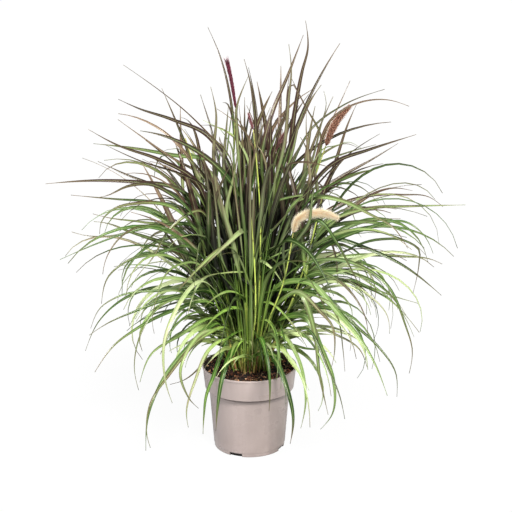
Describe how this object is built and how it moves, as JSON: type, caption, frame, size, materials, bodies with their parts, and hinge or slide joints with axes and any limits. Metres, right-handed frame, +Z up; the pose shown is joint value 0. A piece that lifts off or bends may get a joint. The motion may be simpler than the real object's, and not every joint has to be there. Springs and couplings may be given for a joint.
{
  "type": "potted fountain grass clump",
  "caption": "Round clump of purple fountain grass with arching folded leaves, jointed culms and bottlebrush flower spikes, growing in a plastic nursery pot.",
  "frame": {"origin": "centre of the pot's flat underside, on the pot's axis", "axes": "+Z up along the pot's axis, -Y towards the front of the clump, +X to its right"},
  "size_m": [0.8135, 0.7903, 0.8651],
  "materials": {
    "pot": "satin moulded plastic, taupe outside and dark inside",
    "soil": "damp potting mix of peat and bark",
    "culm": "smooth yellow-green stem",
    "leaf_green": "ribbed green leaf, satin",
    "leaf_purple": "ribbed purple-brown leaf, satin",
    "spike_crimson": "tight crimson bristles",
    "spike_brown": "reddish-brown bristles",
    "spike_pink": "dull pink bristles",
    "spike_young": "short pink bristles",
    "spike_cream": "ripe cream bristles"
  },
  "bodies": {
    "root": {"culm_brown_flower": "culm", "culm_cream_flower": "culm", "culm_crimson_flower": "culm", "culm_leafy_front": "culm", "culm_leafy_left": "culm", "culm_leafy_right": "culm", "culm_pink_flower": "culm", "culm_young_flower": "culm", "leaf_back_high": "leaf_purple", "leaf_back_left_low": "leaf_green", "leaf_back_reach": "leaf_green", "leaf_back_right_high": "leaf_purple", "leaf_back_right_low": "leaf_green", "leaf_back_right_rising": "leaf_green", "leaf_front_high": "leaf_purple", "leaf_front_left_cross": "leaf_green", "leaf_front_left_reach": "leaf_green", "leaf_front_reach": "leaf_green", "leaf_front_right_pale": "leaf_green", "leaf_front_right_reach": "leaf_green", "leaf_left_back": "leaf_green", "leaf_left_broad": "leaf_purple", "leaf_left_far_low": "leaf_green", "leaf_left_longest": "leaf_purple", "leaf_left_low": "leaf_green", "leaf_left_olive": "leaf_green", "leaf_left_rising": "leaf_green", "leaf_left_upright": "leaf_purple", "leaf_low_left_broad": "leaf_green", "leaf_low_right_broad": "leaf_green", "leaf_low_right_falling": "leaf_green", "leaf_low_right_far": "leaf_green", "leaf_low_right_pale": "leaf_green", "leaf_lowest_left": "leaf_green", "leaf_lowest_left_broad": "leaf_green", "leaf_pot_front": "leaf_green", "leaf_pot_front_left": "leaf_green", "leaf_pot_front_right": "leaf_green", "leaf_pot_right": "leaf_green", "leaf_right_broad_brown": "leaf_purple", "leaf_right_broad_pink": "leaf_green", "leaf_right_brown": "leaf_green", "leaf_right_hook": "leaf_green", "leaf_right_longest": "leaf_green", "leaf_right_low": "leaf_green", "leaf_tallest": "leaf_purple", "leaf_top_left_broad": "leaf_purple", "leaf_top_left_line": "leaf_purple", "leaf_top_left_thin": "leaf_purple", "leaf_top_left_upright": "leaf_purple", "leaf_top_right_arch": "leaf_purple", "leaf_top_right_broad": "leaf_purple", "leaf_top_right_line": "leaf_purple", "pot": "pot", "soil": "soil", "spike_brown": "spike_brown", "spike_cream": "spike_cream", "spike_crimson": "spike_crimson", "spike_pink": "spike_pink", "spike_young": "spike_young"}
  },
  "joints": []
}
